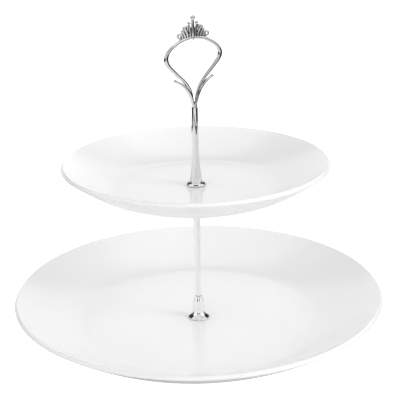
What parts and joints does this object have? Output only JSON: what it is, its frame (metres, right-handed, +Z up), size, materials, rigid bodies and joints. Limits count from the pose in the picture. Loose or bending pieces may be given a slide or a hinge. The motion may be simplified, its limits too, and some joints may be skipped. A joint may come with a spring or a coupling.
{
  "type": "two-tier cake stand",
  "caption": "Two-tier serving stand: round coupe plates clamped on a slim chromed rod, under a loop handle topped by a small crown.",
  "frame": {"origin": "on the table, at the centre of the lower plate's foot ring", "axes": "+Z up along the rod; the loop of the handle lies in the XZ plane, with +X to one side of it"},
  "size_m": [0.267, 0.267, 0.2313],
  "materials": {
    "porcelain": "clear gloss glaze on white porcelain",
    "chrome": "bright plated",
    "plain_steel": "bright zinc plated",
    "soft_plastic": "milky soft plastic, satin"
  },
  "bodies": {
    "lower_tier": {"lower_plate": "porcelain", "lower_top_washer": "soft_plastic", "lower_bottom_washer": "soft_plastic"},
    "rod": {"base_ferrule": "chrome", "lower_rod": "chrome", "upper_stud": "plain_steel", "upper_bottom_washer": "soft_plastic"},
    "upper_tier": {"upper_plate": "porcelain"},
    "handle_washer": {"upper_top_washer": "soft_plastic"},
    "handle": {"handle_stem": "chrome", "crown_handle": "chrome"},
    "screw_washer": {"steel_washer": "plain_steel"},
    "screw": {"base_screw": "plain_steel"}
  },
  "joints": [
    {"name": "rod_turn", "type": "hinge", "parent": "lower_tier", "child": "rod", "pos_m": [0, 0, 0.02], "axis": [0, 0, 1], "continuous": true},
    {"name": "upper_plate_turn", "type": "hinge", "parent": "rod", "child": "upper_tier", "pos_m": [0, 0, 0.11], "axis": [0, 0, 1], "continuous": true},
    {"name": "handle_turn", "type": "hinge", "parent": "rod", "child": "handle_washer", "pos_m": [0, 0, 0.1125], "axis": [0, 0, 1], "range_deg": [0, 3241]},
    {"name": "handle_lift", "type": "slide", "parent": "handle_washer", "child": "handle", "axis": [0, 0, 1], "range_m": [0, 0.0072]},
    {"name": "base_screw_drop", "type": "slide", "parent": "rod", "child": "screw_washer", "axis": [0, 0, -1], "range_m": [0, 0.0072]},
    {"name": "base_screw_turn", "type": "hinge", "parent": "screw_washer", "child": "screw", "pos_m": [0, 0, 0.0035], "axis": [0, 0, -1], "range_deg": [0, 3241]}
  ],
  "couplings": [
    {"joint": "handle_turn", "follows": "handle_lift", "rad_per_m": 7854},
    {"joint": "base_screw_turn", "follows": "base_screw_drop", "rad_per_m": 7854}
  ]
}
